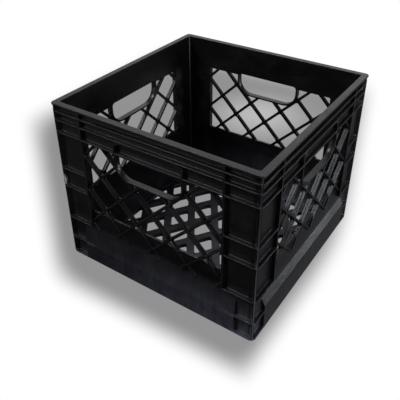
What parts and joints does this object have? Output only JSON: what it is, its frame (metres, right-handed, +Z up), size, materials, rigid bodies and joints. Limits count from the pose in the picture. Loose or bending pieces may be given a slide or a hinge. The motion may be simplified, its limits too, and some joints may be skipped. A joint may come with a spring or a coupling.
{
  "type": "storage crate",
  "caption": "Square open-topped moulded storage crate with diagonal lattice walls, a hand hole in each wall, ribbed corner posts and a diamond-grid floor.",
  "frame": {"origin": "centre of the underside, on the ground", "axes": "+Z up through the open top; X and Y square to the walls, with the longer skirt slopes on the -Y and +Y walls"},
  "size_m": [0.33, 0.33, 0.274],
  "materials": {
    "crate_plastic": "semi-gloss moulded polyethylene, black"
  },
  "bodies": {
    "root": {"crate_body": "crate_plastic"}
  },
  "joints": []
}
